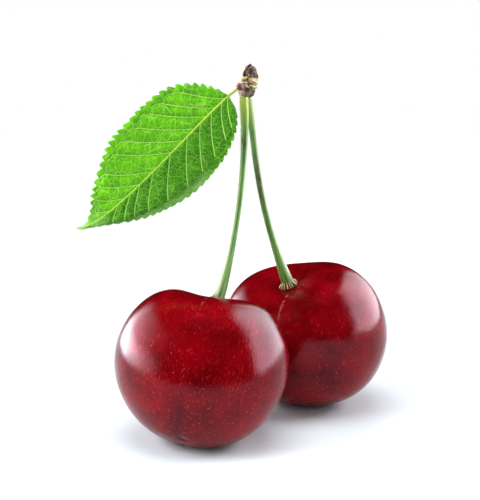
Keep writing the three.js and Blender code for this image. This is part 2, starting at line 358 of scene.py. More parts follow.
def skin_material():
    """Cherry skin: clouded dark red with short streaks that follow the meridians, rounder spots below,
    pinprick lenticels that crowd where it is freckled, the suture's broken line and its shade, and the dry
    scar. Fine streaks roughen its gloss."""
    material, tree, principled = new_material("cherry_skin")
    place, grain = millimetres(tree), field(tree, "grain", "Vector")
    cloud = clouds(tree, place, 6.0)
    colour = blend(tree, cloud["Mask"], SKIN_DEEP, SKIN_BRIGHT)
    strong = step_mask(tree, cloud["Cloud"], 0.38, 0.6)
    streaks = spots(tree, grain, 0.42, 0.14, 0.6)
    short = spots(tree, grain, 0.21, 0.07, 0.7)
    streak_share = larger(tree, streaks["Mask"], short["Mask"])
    strength = plus(tree, times(tree, strong, 0.22), 0.26)
    streak_share = times(tree, streak_share, strength)
    colour = blend(tree, streak_share, colour, SKIN_FLECK)
    low_spots = times(tree, spots(tree, place, 0.5, 0.16, 0.6)["Mask"], field(tree, "lowness"))
    colour = blend(tree, times(tree, low_spots, 0.5), colour, SKIN_SPOT)
    dots = spots(tree, place, 1.1, 0.085, 0.35)
    dot_colour = blend(tree, step_mask(tree, dots["Tone"], 0.6, 0.65), LENTICEL_DARK, LENTICEL_PALE)
    dense = spots(tree, place, 0.62, 0.09, 0.7)
    dot_share = times(tree, dense["Mask"], field(tree, "freckled"))
    dot_share = larger(tree, dot_share, dots["Mask"])
    colour = blend(tree, times(tree, dot_share, 0.6), colour, dot_colour)
    broken = clouds(tree, place, 0.8, 0.4, 0.55)["Mask"]
    seam = times(tree, field(tree, "suture_line"), times(tree, broken, 0.5))
    colour = blend(tree, seam, colour, SUTURE_LINE)
    colour = blend(tree, times(tree, field(tree, "suture_band"), 0.4), colour, SUTURE_SHADE)
    colour = blend(tree, field(tree, "scar"), colour, SCAR_DARK)
    colour = blend(tree, field(tree, "scar_boss"), colour, SCAR_BOSS)
    tree.links.new(colour, principled.inputs["Base Color"])

    fine = clouds(tree, grain, 0.22)
    rough = plus(tree, times(tree, fine["Cloud"], 0.08), 0.09)
    tree.links.new(rough, principled.inputs["Roughness"])
    relief = plus(tree, fine["Cloud"], times(tree, dot_share, -0.6))
    roughen(tree, principled, relief, 0.00004, 0.7)
    principled.inputs["IOR"].default_value = 1.27
    principled.inputs["Specular Tint"].default_value = (1.0, 0.84, 0.96, 1)
    return material


skin = skin_material()
front_points, front_fields = cherry_points(CHERRY_FRONT)
rear_points, rear_fields = cherry_points(CHERRY_REAR)

# The fruits and what hangs from them are drawn round a point of their own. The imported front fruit's box says
# how far that point lies from the model's origin.
low_corner, high_corner = (np.array(corner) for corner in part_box("cherry_front"))
frame_shift = (low_corner + high_corner) * 500 - (front_points.min(axis=0) + front_points.max(axis=0)) / 2
frame_shift[2] = 0

for name, points, fields in (
    ("cherry_front", front_points, front_fields),
    ("cherry_rear", rear_points, rear_fields),
):
    quads = grid_quads(SKIN_ROWS, SKIN_COLUMNS + 1)
    cherry = make_piece(name + "_skin", points, quads, skin, **fields)
    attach(cherry, "root")
    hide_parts(name)


# ---- The two stalks ----
# Green, slightly ribbed stalks, one for each fruit. Each flares towards its fruit and ends in a ribbed, corky
# crown that is seated in the stem cavity; their heads meet side by side under the spur.

STALK_RADIUS = 0.53
STALK_FLARE, STALK_FLARE_LENGTH = 0.45, 5.6
CROWN_RADIUS, CROWN_HEIGHT, CROWN_RIBS = 1.62, 1.05, 14
CROWN_SINK = 0.12
STALK_ROWS, STALK_COLUMNS, STALK_CROWDING = 170, 126, 1.9
# Each stalk carries a painted pale highlight down one side, aimed by its angle setting and as strong as its
# pale setting.
STALK_FRONT = dict(
    fruit=CHERRY_FRONT, bends=((-1.2, 6.5, 27.04), (1.35, 8.5, 43.59)), head=(0.5, 9.45, 54.2),
    head_swell=0.26, stain_at=26, stain_length=1.2, ribs_turned=0.4, highlight_towards=-148, pale=0.75, seed=21,
)
STALK_REAR = dict(
    fruit=CHERRY_REAR, bends=((2.45, 13.6, 36.34), (2.75, 11.6, 42.52)), head=(1.2, 10.35, 54.2),
    head_swell=0.04, stain_at=19.5, stain_length=4.2, ribs_turned=1.3, highlight_towards=-20, pale=0.35, seed=22,
)


def bezier(ends, share):
    """Points of a cubic curve with four control points, and its unit tangents, at shares from 0 to 1."""
    start, first, second, end = (np.array(point, float) for point in ends)
    t = np.asarray(share)[:, None]
    points = (1 - t) ** 3 * start + 3 * (1 - t) ** 2 * t * first + 3 * (1 - t) * t**2 * second + t**3 * end
    slope = (1 - t) ** 2 * (first - start) + 2 * (1 - t) * t * (second - first) + t**2 * (end - second)
    return points, slope / np.linalg.norm(slope, axis=1, keepdims=True)


def evenly(ends, lengths):
    """Points and tangents of a cubic curve at distances along it, a share of its whole length each."""
    fine = np.linspace(0, 1, 600)
    steps = np.linalg.norm(np.diff(bezier(ends, fine)[0], axis=0), axis=1)
    along = np.concatenate([[0], np.cumsum(steps)])
    return (*bezier(ends, np.interp(lengths, along / along[-1], fine)), along[-1])


def cross_frames(tangents, facing):
    """Two unit vectors across each tangent: one to the side of the direction faced, and one towards it."""
    side = np.cross(tangents, facing)
    side = side / np.linalg.norm(side, axis=1, keepdims=True)
    return side, np.cross(side, tangents)


def cavity_floor(fruit):
    """The lowest point of a stem cavity, where the stalk is seated."""
    height = fruit["half_height"] - fruit["cavity_depth"]
    return placed(fruit, np.array([[fruit["cavity_x"], fruit["cavity_y"], height]]))[0]


def stalk_points(stalk):
    """A tube along a cubic curve. Its radius is constant, plus an exponential flare towards the fruit, a
    smooth step at its head and a bell at the crown. Cosine waves round the stalk rib it: many sharp ribs on
    the crown, whose phase wanders, and few soft ones above. Both ends close as a square root."""
    seat = cavity_floor(stalk["fruit"])
    first = np.array(stalk["bends"][0])
    seat = seat - CROWN_SINK * (first - seat) / np.linalg.norm(first - seat)
    ends = (seat, *stalk["bends"], stalk["head"])
    share = np.linspace(0, 1, STALK_ROWS) ** STALK_CROWDING
    centre, tangent, length = evenly(ends, share)
    side, front = cross_frames(tangent, (0.0, -1.0, 0.0))
    around = np.linspace(0, 2 * np.pi, STALK_COLUMNS + 1)[None, :]
    along = (share * length)[:, None]

    flare = STALK_FLARE * np.exp(-((along / STALK_FLARE_LENGTH) ** 1.6))
    body = STALK_RADIUS + flare + stalk["head_swell"] * smooth_step(share[:, None], 0.62, 1.0)
    soft_ribs = 0.045 * np.cos(4 * around + stalk["ribs_turned"] + 0.09 * along)
    soft_ribs = soft_ribs + 0.02 * np.cos(9 * around - 0.12 * along)
    crown = np.exp(-(((along - 0.38) / (0.42 * CROWN_HEIGHT)) ** 2))
    phase = CROWN_RIBS * around + 2.0 * np.sin(2 * around + stalk["seed"]) + np.sin(5 * around)
    rib = (0.5 + 0.5 * np.cos(phase)) ** 1.6
    spread = crown * (CROWN_RADIUS - STALK_RADIUS - STALK_FLARE) * (0.4 + 0.6 * rib)
    ring = np.stack([np.cos(around), np.sin(around), 0 * around], axis=-1)
    ragged = 0.1 * lumps(3 * ring, 0.7, stalk["seed"])
    radius = body * (1 + soft_ribs) + spread + crown * ragged
    radius = radius * np.sqrt(np.clip(along / 0.12, 0, 1)) * np.sqrt(np.clip((length - along) / 0.15, 0, 1))
    points = centre[:, None] + radius[..., None] * (
        np.cos(around)[..., None] * side[:, None] + np.sin(around)[..., None] * front[:, None]
    )
    grain = np.stack(np.broadcast_arrays(np.cos(around), np.sin(around), along / 7), axis=-1)
    stain = np.exp(-(((along - stalk["stain_at"]) / stalk["stain_length"]) ** 2))
    # Painted highlight: one side of the stalk is paled, as where the light falls on it.
    painted_highlight = smooth_step(np.cos(around + np.radians(stalk["highlight_towards"])), 0.55, 0.95)
    ragged_top = CROWN_HEIGHT + 0.45 * rib + 0.3 * lumps(4 * ring, 0.5, stalk["seed"])
    # Painted shade in the gaps between the crown's ribs and at its top, where the ridges begin.
    crown_gap_shade = smooth_step(along, ragged_top + 0.9, ragged_top - 0.3) * (1 - rib) ** 0.4
    fields = dict(
        along=share[:, None], stain=stain * smooth_step(np.sin(around), 0.0, 0.9),
        crown=smooth_step(along, ragged_top + 0.15, ragged_top - 0.15), crown_gap_shade=crown_gap_shade,
        painted_highlight=stalk["pale"] * painted_highlight, foot=smooth_step(along, 0.42, 0.2),
    )
    fields = {label: np.broadcast_to(values, radius.shape).ravel() for label, values in fields.items()}
    return points.reshape(-1, 3), fields | dict(grain=grain.reshape(-1, 3))


STALK_GREEN = (0.062, 0.190, 0.012, 1)
STALK_LIGHT = (0.170, 0.360, 0.055, 1)
STALK_HIGHLIGHT = (0.600, 0.660, 0.450, 1)
STALK_TOP = (0.330, 0.450, 0.060, 1)
STALK_BROWN = (0.070, 0.026, 0.012, 1)
CROWN_CREAM = (0.620, 0.500, 0.210, 1)
CROWN_SHADE_DARK = (0.014, 0.008, 0.006, 1)
CROWN_FOOT = (0.520, 0.250, 0.030, 1)


def stalk_material():
    """Stalk skin: green with lighter lengthwise streaks, a painted pale highlight down one side and yellower
    at its head, with brown specks and a rubbed brown patch; the crown is cream cork with painted shade in the
    gaps between its ribs, over an amber foot."""
    material, tree, principled = new_material("stalk_green")
    grain = field(tree, "grain", "Vector")
    streaks = clouds(tree, grain, 0.45, 0.38, 0.68)
    colour = blend(tree, streaks["Mask"], STALK_GREEN, STALK_LIGHT)
    # Painted highlight down one side of the stalk.
    highlight_share = times(tree, field(tree, "painted_highlight"), 0.9)
    colour = blend(tree, highlight_share, colour, STALK_HIGHLIGHT)
    head_share = step_mask(tree, field(tree, "along"), 0.80, 0.97)
    colour = blend(tree, head_share, colour, STALK_TOP)
    specks = spots(tree, grain, 0.34, 0.09, 0.22)
    worn = clouds(tree, grain, 0.3, 0.38, 0.55)
    patch = times(tree, field(tree, "stain"), worn["Mask"])
    brown = larger(tree, times(tree, specks["Mask"], 0.7), patch)
    colour = blend(tree, brown, colour, STALK_BROWN)
    cream = times(tree, field(tree, "crown"), 0.95)
    colour = blend(tree, cream, colour, CROWN_CREAM)
    # Painted shade in the crown's gaps.
    colour = blend(tree, field(tree, "crown_gap_shade"), colour, CROWN_SHADE_DARK)
    colour = blend(tree, field(tree, "foot"), colour, CROWN_FOOT)
    tree.links.new(colour, principled.inputs["Base Color"])
    roughen(tree, principled, clouds(tree, grain, 0.12)["Cloud"], 0.00004, 0.6)
    rough = plus(tree, times(tree, field(tree, "crown"), 0.3), 0.42)
    tree.links.new(rough, principled.inputs["Roughness"])
    return material


stalk_skin = stalk_material()
for name, stalk in (("stalk_front", STALK_FRONT), ("stalk_rear", STALK_REAR)):
    points, fields = stalk_points(stalk)
    tube = make_piece(name + "_tube", points, grid_quads(STALK_ROWS, STALK_COLUMNS + 1), stalk_skin, **fields)
    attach(tube, "root")
    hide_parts(name)


# ---- The spur ----
# The short knob of woody fruiting spur that was broken off with the fruit: rough dark bark at its torn top,
# and below it the stacked, tilted rims of old leaf and bud scars, pale where they are freshly exposed.

SPUR_FOOT, SPUR_TOP = (1.3, 10.0, 53.9), (1.75, 10.0, 58.9)
SPUR_OUTLINE = ((0, 0.95), (0.17, 1.12), (0.31, 1.3), (0.47, 1.38), (0.58, 1.42), (0.71, 1.28), (0.82, 1.1),
                (0.93, 0.8), (1, 0.4))
SPUR_ROWS, SPUR_COLUMNS = 190, 200
SCAR_RIMS = (  # height as a share, fall to the right, width, how far it stands out, middle and half its arc
    (0.61, 0.16, 0.022, 0.16, -42, 50), (0.545, 0.15, 0.020, 0.14, -38, 48),
    (0.42, 0.15, 0.026, 0.17, -40, 62),
    (0.475, 0.02, 0.022, 0.15, -140, 45), (0.40, -0.03, 0.020, 0.12, -160, 40),
    (0.60, 0.05, 0.024, 0.15, 100, 75), (0.50, 0.04, 0.026, 0.16, 95, 80), (0.38, 0.08, 0.024, 0.14, 90, 80),
)
SPUR_KNOB = dict(height=0.64, towards=-138, half_arc=0.42, half_height=0.075, out=0.42)


def spur_points():
    """A turned outline on a leaning axis. Each scar rim is a bell across its own tilted arc, with a groove
    under it; the knob is a round bell; lumps of two sizes roughen the bark, most at the torn top, and two
    more make that top jagged."""
    share = np.linspace(0, 1, SPUR_ROWS)[:, None]
    around = np.linspace(-np.pi, np.pi, SPUR_COLUMNS + 1)[None, :]
    foot, top = np.array(SPUR_FOOT), np.array(SPUR_TOP)
    outline_share, outline_radius = np.array(SPUR_OUTLINE).T
    radius = np.interp(share, outline_share, outline_radius)
    centre = foot + (top - foot) * share[..., None]
    unit = np.stack(np.broadcast_arrays(np.cos(around), np.sin(around), 0 * around), axis=-1)
    place = centre + radius[..., None] * unit

    rim = gap = 0
    wander = 0.012 * lumps(place, 0.5, 31)
    for height, fall, width, out, middle, half_arc in SCAR_RIMS:
        off = np.abs(np.mod(around - np.radians(middle) + np.pi, 2 * np.pi) - np.pi)
        arc = smooth_step(off, np.radians(half_arc), np.radians(0.55 * half_arc))
        away = (share + fall * np.cos(around) + wander - height) / width
        rim = np.maximum(rim, arc * out * np.exp(-(away**2)))
        gap = np.maximum(gap, arc * np.exp(-((away + 2.1) ** 2)))
    knob_off = (around - np.radians(SPUR_KNOB["towards"])) / SPUR_KNOB["half_arc"]
    knob = np.exp(-(knob_off**2) - ((share - SPUR_KNOB["height"]) / SPUR_KNOB["half_height"]) ** 2)
    torn = smooth_step(share + 0.05 * np.cos(around) + 0.04 * lumps(place, 0.6, 36), 0.62, 0.70)
    rough = 0.09 * lumps(place, 0.6, 32) + 0.07 * lumps(place, 0.28, 33)
    radius = radius - 0.1 + rim - 0.12 * gap + SPUR_KNOB["out"] * knob + rough * (0.45 + 1.2 * torn)
    radius = radius * np.sqrt(np.clip(share / 0.02, 0, 1)) * np.sqrt(np.clip((1 - share) / 0.03, 0, 1))
    points = centre + radius[..., None] * unit
    points[..., 2] += torn * (0.22 * lumps(2.2 * unit, 0.9, 34) + 0.14 * lumps(place, 0.35, 35))
    strip = smooth_step(np.cos(around + 0.25), 0.35, 0.8) * smooth_step(share, 0.16, 0.3) * (1 - torn)
    middle = smooth_step(share, 0.27, 0.36) * (1 - torn) * smooth_step(lumps(place, 0.5, 37), -0.5, 0.3)
    pale = np.maximum(np.maximum(strip, 0.9 * middle), 1.3 * knob * (1 - 0.5 * torn))
    # Painted shade: the low spots of the bark and the grooves under the rims are marked to be darkened.
    hollow_shade = np.maximum(-rough * 8, gap)
    fields = {"rim": rim / 0.15, "pale": pale, "hollow_shade": hollow_shade}
    fields = {label: np.clip(values, 0, 1).ravel() for label, values in fields.items()}
    return points.reshape(-1, 3), fields


BARK_BROWN = (0.085, 0.036, 0.014, 1)
BARK_BLACK_AND_SHADE = (0.010, 0.006, 0.008, 1)
BARK_TAN = (0.480, 0.270, 0.120, 1)
RIM_CREAM = (0.700, 0.570, 0.330, 1)
RIM_GREEN = (0.420, 0.430, 0.120, 1)
RIM_TAN = (0.500, 0.280, 0.110, 1)


def bark_material():
    """Spur bark: brown clouded with near-black and tan, with painted shade in its hollows and in the grooves
    under its rims; scar rims and bare strips are cream, green and rusty by turns."""
    material, tree, principled = new_material("spur_bark")
    place = millimetres(tree)
    colour = blend(tree, clouds(tree, place, 0.7, 0.45, 0.58)["Mask"], BARK_BROWN, BARK_BLACK_AND_SHADE)
    tan = clouds(tree, place, 0.35, 0.58, 0.68)["Mask"]
    colour = blend(tree, times(tree, tan, 0.7), colour, BARK_TAN)
    rim_colour = blend(tree, clouds(tree, place, 1.0, 0.45, 0.58)["Mask"], RIM_CREAM, RIM_GREEN)
    rim_colour = blend(tree, clouds(tree, place, 0.5, 0.5, 0.62)["Mask"], rim_colour, RIM_TAN)
    rim_share = larger(tree, field(tree, "rim"), times(tree, field(tree, "pale"), 0.85))
    colour = blend(tree, step_mask(tree, rim_share, 0.25, 0.7), colour, rim_colour)
    # Painted shade in the hollows.
    colour = blend(tree, times(tree, field(tree, "hollow_shade"), 0.7), colour, BARK_BLACK_AND_SHADE)
    tree.links.new(colour, principled.inputs["Base Color"])
    roughen(tree, principled, clouds(tree, place, 0.12)["Cloud"], 0.00008, 0.8)
    principled.inputs["Roughness"].default_value = 0.75
    return material


bark = bark_material()
points, fields = spur_points()
spur = make_piece("spur_bark", points, grid_quads(SPUR_ROWS, SPUR_COLUMNS + 1), bark, **fields)
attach(spur, "root")
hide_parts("spur")


# ---- The bud scales ----
# Thin leathery scales of the opened bud. They are fixed round the foot of the spur and hang down round the
# heads of the stalks, each with a rounded tip and a reddish rim.

SCALE_THICKNESS = 0.1
SCALE_ROWS, SCALE_COLUMNS = 36, 33
SCALES = (  # direction it faces in degrees, half its spread in degrees, length, how far it stands off
    (-92, 52, 2.0, 0.14), (-22, 36, 2.05, 0.06), (-148, 34, 1.75, 0.06), (160, 40, 1.6, 0.1),
    (95, 52, 1.9, 0.14), (35, 44, 1.7, 0.08),
)
SCALE_TOP, SCALE_AXIS = 55.8, (1.12, 9.98)


def scale_points(direction, spread, length, stand_off):
    """One bud scale, as the closed skin of a curved shield round the spur: a strip of angles that narrows
    to a round tip as the square root of one less a power of the length, bellied by a sine, outside then
    inside."""
    row = np.linspace(0, 1, SCALE_ROWS)[:, None]
    across = np.linspace(-1, 1, SCALE_COLUMNS)[None, :]
    reach = np.sqrt(np.clip(1 - row**3.5, 0, 1))
    angle = np.radians(direction + spread * across * (0.35 + 0.65 * reach) * reach)
    belly = 1.0 + stand_off * (0.6 + np.sin(np.pi * row) * 0.8) - 0.12 * row**2
    belly = belly - 0.10 * across**2
    edge = np.sqrt(np.clip((1 - across**6) * (1 - row**8), 0, 1))
    layers = []
    for half in (1, -1):
        radius = belly + half * 0.5 * SCALE_THICKNESS * edge
        z = SCALE_TOP - length * row + 0 * across
        x = SCALE_AXIS[0] + 0.12 * (z - SCALE_TOP + 1) + radius * np.cos(angle)
        layer = np.stack([x, SCALE_AXIS[1] + radius * np.sin(angle), z], axis=-1)
        layers.append(layer if half > 0 else layer[:, ::-1])
    points = np.concatenate([layers[0], layers[1][:, 1:]], axis=1)
    points = points + 0.05 * lumps(points, 0.5, 41)[..., None]
    rim = np.maximum(np.abs(across) ** 6, row**5)
    rim = np.concatenate([rim, rim[:, ::-1][:, 1:]], axis=1)
    tip = np.broadcast_to(row, rim.shape)
    return points.reshape(-1, 3), rim.ravel(), tip.ravel()


SCALE_PLUM = (0.060, 0.022, 0.020, 1)
SCALE_OLIVE = (0.170, 0.110, 0.050, 1)
SCALE_RIM = (0.260, 0.085, 0.035, 1)


def bud_scale_material():
    """Bud scale skin: plum-brown where it is fixed, dull olive towards its tip, with a red-brown rim and tan
    scurf."""
    material, tree, principled = new_material("bud_scale")
    place = millimetres(tree)
    cloud = clouds(tree, place, 0.5)
    tip = plus(tree, field(tree, "tip"), times(tree, cloud["Cloud"], 0.5))
    colour = blend(tree, step_mask(tree, tip, 0.5, 0.95), SCALE_PLUM, SCALE_OLIVE)
    scurf = clouds(tree, place, 0.22, 0.6, 0.7)["Mask"]
    colour = blend(tree, times(tree, scurf, 0.5), colour, BARK_TAN)
    colour = blend(tree, times(tree, field(tree, "rim"), 0.8), colour, SCALE_RIM)
    tree.links.new(colour, principled.inputs["Base Color"])
    roughen(tree, principled, cloud["Cloud"], 0.00008, 0.7)
    principled.inputs["Roughness"].default_value = 0.55
    return material


points, rim, tip = (np.concatenate(part) for part in zip(*(scale_points(*scale) for scale in SCALES)))
one_scale = grid_quads(SCALE_ROWS, 2 * SCALE_COLUMNS - 1)
scale_quads = np.concatenate([one_scale + k * len(points) // len(SCALES) for k in range(len(SCALES))])
bud_scale_skin = bud_scale_material()
bud_scales = make_piece("bud_scale_ring", points, scale_quads, bud_scale_skin, rim=rim, tip=tip)
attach(bud_scales, "root")
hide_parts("bud_scales")


# ---- The side bud and the stipule ----
# A small dried bud that sits against the left of the spur, plum-brown with an orange tip, where the leaf's
# petiole is joined; and the thin papery stipule that hangs below it.

BUD_MIDDLE, BUD_RADIUS, BUD_LENGTH, BUD_LEAN = (0.03, 8.4, 55.75), 0.5, 1.3, -35
BUD_ROWS, BUD_COLUMNS = 48, 56
STIPULE_PATH = ((-0.5, 8.1, 55.35), (-0.1, 8.15, 55.2), (0.12, 8.3, 54.7), (0.12, 8.35, 53.9))
STIPULE_WIDTH, STIPULE_THICKNESS, STIPULE_FACING = 0.2, 0.09, (0.25, -0.97, 0.0)
STIPULE_ROWS, STIPULE_COLUMNS = 60, 24


def bud_points():
    """An egg on a leaning axis, folded by three scale edges that spiral up it and roughened by lumps."""
    polar = np.linspace(0, np.pi, BUD_ROWS)[:, None]
    around = np.linspace(0, 2 * np.pi, BUD_COLUMNS + 1)[None, :]
    edge = np.mod(1.5 * around / np.pi + 2.2 * polar, 1.0) ** 3
    unit = np.stack(np.broadcast_arrays(
        np.sin(polar) * np.cos(around), np.sin(polar) * np.sin(around), np.cos(polar)), axis=-1)
    swell = 1 + 0.2 * edge * np.sin(polar) + 0.14 * lumps(unit, 0.45, 51)
    points = unit * swell[..., None] * (BUD_RADIUS, BUD_RADIUS * 0.85, BUD_LENGTH / 2)
    points = points @ turned_about(1, BUD_LEAN).T + BUD_MIDDLE
    tip = np.broadcast_to(smooth_step(polar, 1.0, 0.5), edge.shape)
    return points.reshape(-1, 3), tip.ravel(), (edge * np.sin(polar)).ravel()


BUD_PLUM = (0.030, 0.010, 0.012, 1)
BUD_ROSE = (0.260, 0.070, 0.055, 1)
BUD_ORANGE = (0.560, 0.190, 0.035, 1)
STIPULE_PALE = (0.700, 0.620, 0.520, 1)
STIPULE_RED = (0.340, 0.120, 0.070, 1)


def dry_scale_material(name, dark, light, tip_colour):
    """Dry scale: two tones in small clouds, the lighter along its rim, with a tip of its own colour."""
    material, tree, principled = new_material(name)
    cloud = clouds(tree, millimetres(tree), 0.4, 0.42, 0.6)
    share = larger(tree, times(tree, cloud["Mask"], 0.8), field(tree, "rim"))
    colour = blend(tree, share, dark, light)
    colour = blend(tree, field(tree, "tip"), colour, tip_colour)
    tree.links.new(colour, principled.inputs["Base Color"])
    roughen(tree, principled, cloud["Cloud"], 0.00006, 0.6)
    principled.inputs["Roughness"].default_value = 0.55
    return material


points, tip, rim = bud_points()
bud_skin = dry_scale_material("dry_bud", BUD_PLUM, BUD_ROSE, BUD_ORANGE)
bud_quads = grid_quads(BUD_ROWS, BUD_COLUMNS + 1)
side_bud = make_piece("side_bud_egg", points, bud_quads, bud_skin, tip=tip, rim=rim)
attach(side_bud, "root")
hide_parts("side_bud")


def stipule_points():
    """A flat ribbon along a cubic curve, its width tapering at both ends as the root of a sine and dished by
    the square of the distance across it."""
    share = np.linspace(0, 1, STIPULE_ROWS)
    centre, tangent, _ = evenly(STIPULE_PATH, share)
    side, front = cross_frames(tangent, STIPULE_FACING)
    around = np.linspace(0, 2 * np.pi, STIPULE_COLUMNS + 1)[None, :]
    taper = np.sqrt(np.clip(np.sin(np.pi * share), 0, 1))[:, None]
    across = STIPULE_WIDTH * taper * np.cos(around)
    out = STIPULE_THICKNESS * taper * np.sin(around) + 0.5 * across**2
    points = centre[:, None] + across[..., None] * side[:, None] + out[..., None] * front[:, None]
    rim = np.broadcast_to(smooth_step(-np.cos(around), 0.2, 0.9), across.shape).ravel()
    return points.reshape(-1, 3), 0 * rim, rim


points, tip, rim = stipule_points()
stipule_skin = dry_scale_material("dry_stipule", STIPULE_PALE, STIPULE_RED, STIPULE_PALE)
stipule_quads = grid_quads(STIPULE_ROWS, STIPULE_COLUMNS + 1)
stipule = make_piece("stipule_ribbon", points, stipule_quads, stipule_skin, tip=tip, rim=rim)
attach(stipule, "root")
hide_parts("stipule")


# ---- The leaf ----
# One young leaf blade on its short petiole, which is joined to the side bud. It is thin and quilted between
# its sunken veins, folded a little along the midrib, with saw teeth that point to its tip.

PETIOLE_START, PETIOLE_RADIUS = (-0.35, 8.45, 55.45), 0.22
LEAF_MIDRIB = ((-1.73, 8.5, 54.37), (-7.12, 6.5, 50.16), (-21.79, 5.0, 32.71), (-25.72, 4.0, 33.99))
LEAF_FACING = (0.0, -0.96, 0.28)
LEAF_ROWS, LEAF_COLUMNS = 330, 140
LEAF_THICKNESS, LEAF_FOLD, LEAF_QUILT = 0.2, 10, 0.26
LOWER_CURL, TIP_CURL = 1.3, 1.2
LEAF_UPPER = dict(
    width=8.6, base=9.88, base_power=0.98, tip=5.3, tip_power=1.9, loops_fade=0.0,
    veins=(0.025, 0.092, 0.153, 0.235, 0.315, 0.398, 0.53, 0.62, 0.72, 0.815),
)
LEAF_LOWER = dict(
    width=8.65, base=3.12, base_power=0.40, tip=3.32, tip_power=1.61, loops_fade=0.07,
    veins=(0.005, 0.048, 0.118, 0.195, 0.285, 0.405, 0.525, 0.615, 0.68, 0.76),
)
VEIN_STRAIGHT, VEIN_BOW, VEIN_LOOP = 0.78, 0.35, 0.085
TOOTH_SPACING, UPPER_TOOTH, LOWER_TOOTH = 1.3, 0.68, 0.28
LEAF_TAIL = 0.4
LADDER_SLANT, LADDER_STRETCH = 48, 1.7
FAR = 9.0


def half_width(side, share):
    """Half of the blade's width at a share u of the midrib's length: the width times (1 - (1 - u)^base) to
    its power, times (1 - u^tip) to its power, and near the tip no less than a narrow tail that closes as a
    square root."""
    base = 1 - (1 - share) ** side["base"]
    width = side["width"] * base ** side["base_power"] * (1 - share ** side["tip"]) ** side["tip_power"]
    return np.maximum(width, LEAF_TAIL * np.sqrt((1 - share) / 0.06) * (share > 0.8))


def vein_gaps(along, reach, side, width, length):
    """Distances in millimetres to the nearest side vein and to the nearest fork beyond its loop. A vein
    leaves the midrib at its start and runs forward, bowed by half a sine wave; near the margin it meets the
    next vein in a loop, a half wave of the share of the width between their ends. loops_fade adds to the
    distance to a loop, which thins it."""
    starts = np.array(side["veins"])
    cotangent = 0.75 + 0.8 * starts
    out = reach / np.maximum(width, 0.05)
    gap = np.full(along.shape, FAR)
    for start, slope in zip(starts * length, cotangent):
        bow = VEIN_BOW * np.sin(np.pi * np.clip(out / VEIN_STRAIGHT, 0, 1))
        line = start + reach * slope + bow
        across = np.abs(along - line) / np.hypot(1, slope)
        beyond = np.clip(out - VEIN_STRAIGHT, 0, 1) * np.maximum(width, 1)
        gap = np.minimum(gap, np.hypot(across, 1.6 * beyond))
    ends = starts * length
    for _ in range(8):
        ends = starts * length + VEIN_STRAIGHT * half_width(side, np.clip(ends / length, 0.02, 1)) * cotangent
    ends = np.maximum.accumulate(ends + 0.01 * np.arange(len(ends)))
    index = np.interp(along, ends, np.arange(len(ends)))
    loop = VEIN_STRAIGHT + VEIN_LOOP * np.sin(np.pi * (index % 1.0))
    loop_gap = np.abs(out - loop) * np.maximum(width, 0.5)
    inside = (along > ends[0] - 0.5) & (along < ends[-1])
    gap = np.minimum(gap, np.where(inside, loop_gap + side["loops_fade"], FAR))
    fork = np.abs((along + 0.6 * reach) / (2 * TOOTH_SPACING) % 1.0 - 0.5) * 2 * TOOTH_SPACING
    return gap, np.where(out > loop, fork, FAR)


